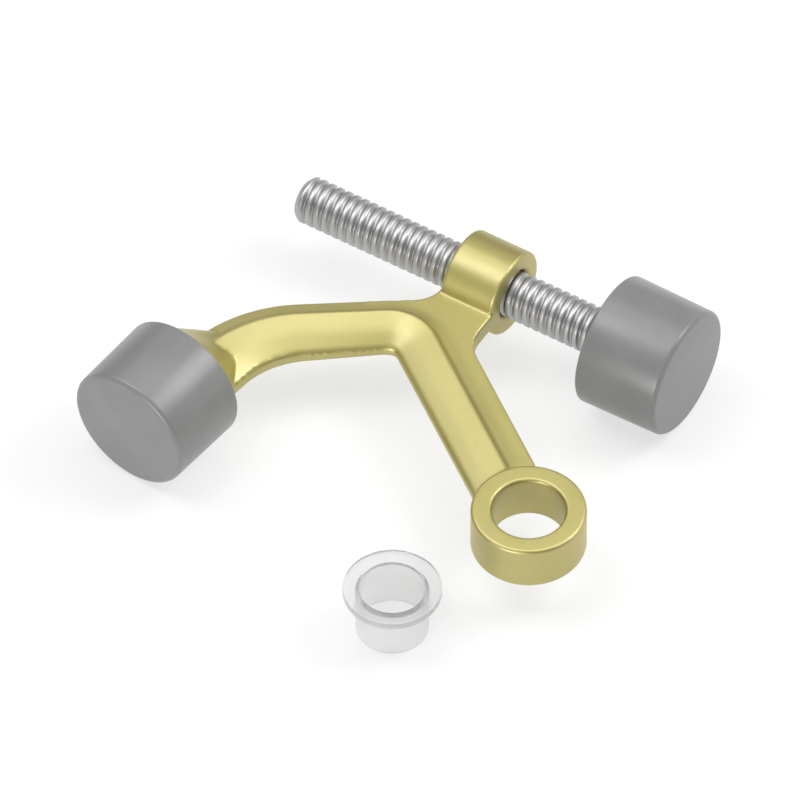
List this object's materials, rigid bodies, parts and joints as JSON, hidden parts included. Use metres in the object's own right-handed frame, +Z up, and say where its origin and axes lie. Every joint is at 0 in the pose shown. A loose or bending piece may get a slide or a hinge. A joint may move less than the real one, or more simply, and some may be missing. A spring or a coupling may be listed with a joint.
{
  "type": "hinge pin door stop",
  "caption": "Hinge pin door stop: a cast brass ring and arms with a fixed rubber bumper, and an adjustable rubber bumper on a threaded rod; clear bushing beside it.",
  "frame": {"origin": "centre of the hinge pin's bore at the middle of the ring's height", "axes": "+Z up along the hinge pin's bore, +Y towards the elbow of the arms, +X towards the adjustable bumper"},
  "size_m": [0.0831, 0.0745, 0.0176],
  "materials": {
    "arm_casting": "satin",
    "threaded_rod": "zinc plated",
    "adjustable_bumper": "matt grey",
    "fixed_bumper": "matt grey",
    "pin_bushing": "clear"
  },
  "bodies": {
    "stop": {"arm_casting": "arm_casting", "fixed_bumper": "fixed_bumper", "pin_bushing": "pin_bushing"},
    "bumper": {"adjustable_bumper": "adjustable_bumper"},
    "rod": {"threaded_rod": "threaded_rod"}
  },
  "joints": [
    {"name": "rod_travel", "type": "slide", "parent": "stop", "child": "bumper", "axis": [0.8517, -0.524, 0], "range_m": [-0.0138, 0.0241]},
    {"name": "rod_turn", "type": "hinge", "parent": "bumper", "child": "rod", "pos_m": [-0.00504, 0.04159, 0], "axis": [0.8517, -0.524, 0], "range_deg": [-3920, 6840]}
  ],
  "couplings": [
    {"joint": "rod_turn", "follows": "rod_travel", "rad_per_m": 4947.4}
  ]
}
